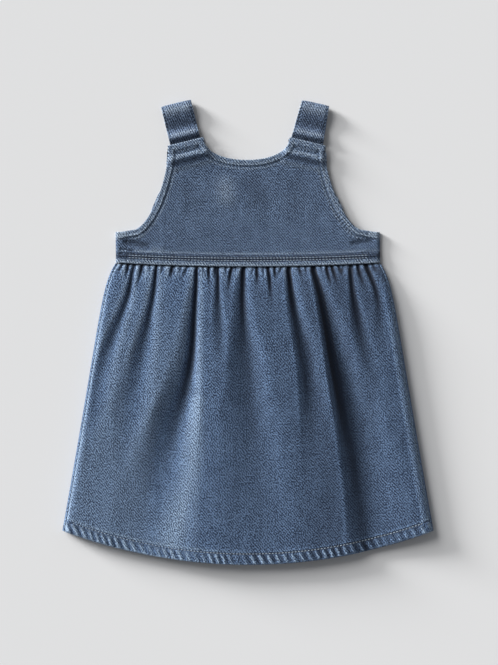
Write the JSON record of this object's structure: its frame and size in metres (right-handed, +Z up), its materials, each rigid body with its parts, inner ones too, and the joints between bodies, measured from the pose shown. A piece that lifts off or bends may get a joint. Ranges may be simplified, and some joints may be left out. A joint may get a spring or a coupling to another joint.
{
  "type": "pinafore dress",
  "caption": "Sleeveless denim pinafore dress with a scooped bib, short doubled straps, a stitched waist and a wide gathered skirt, laid flat with its front up.",
  "frame": {"origin": "under the middle of the laid-out dress, on the surface that it lies on", "axes": "+Z up from the surface, out of the front of the dress; +Y from the hem to the straps; +X to the right of the front as it is seen from above"},
  "size_m": [0.3536, 0.4426, 0.0137],
  "materials": {
    "bodice_denim": "matte",
    "strap_denim": "matte",
    "skirt_denim": "matte"
  },
  "bodies": {
    "root": {"bodice_front": "bodice_denim", "bodice_back": "bodice_denim", "strap_left": "strap_denim", "strap_right": "strap_denim", "skirt_front": "skirt_denim", "skirt_back": "skirt_denim"}
  },
  "joints": []
}
